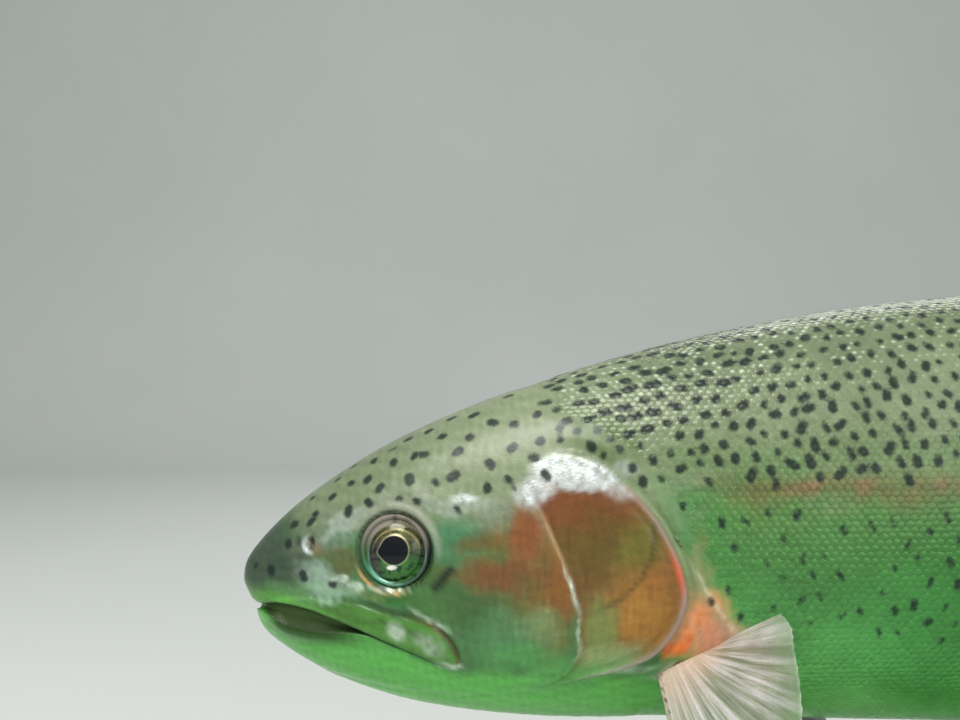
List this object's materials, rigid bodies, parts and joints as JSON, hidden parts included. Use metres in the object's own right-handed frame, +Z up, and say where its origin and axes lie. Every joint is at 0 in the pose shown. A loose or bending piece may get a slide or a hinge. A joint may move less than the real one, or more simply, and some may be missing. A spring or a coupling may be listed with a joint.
{
  "type": "rainbow trout",
  "caption": "Life-size rainbow trout swimming with its mouth just open and its fins spread, held over a flat base by two short rods.",
  "frame": {"origin": "middle of the underside of the stand's base", "axes": "+X along the fish towards its tail, +Y towards its right side, +Z up from the base to its back"},
  "size_m": [0.5079, 0.1572, 0.2269],
  "materials": {
    "head": "wet olive skin with dark spots, without scales",
    "jaw": "wet pale green and pearly skin",
    "gill_cover": "wet, silvery at the top and red-brown below",
    "body": "wet small scales, olive with dark spots above and green silver below",
    "fin": "thin grey-green membrane over branched rays",
    "eye": "clear wet cornea over a dark pupil and a green bronze iris",
    "stand_base": "dark oiled wood",
    "stand_rod": "brushed steel"
  },
  "bodies": {
    "root": {"head": "head", "lower_jaw": "jaw", "throat": "jaw", "maxilla_left": "jaw", "maxilla_right": "jaw", "gill_cover_left": "gill_cover", "gill_cover_right": "gill_cover", "eye_left": "eye", "eye_right": "eye", "trunk": "body", "tail_stalk": "body", "dorsal_fin": "fin", "adipose_fin": "fin", "anal_fin": "fin", "tail_fin": "fin", "pectoral_fin_left": "fin", "pectoral_fin_right": "fin", "pelvic_fin_left": "fin", "pelvic_fin_right": "fin", "stand_base": "stand_base", "stand_rod_front": "stand_rod", "stand_rod_rear": "stand_rod"}
  },
  "joints": []
}
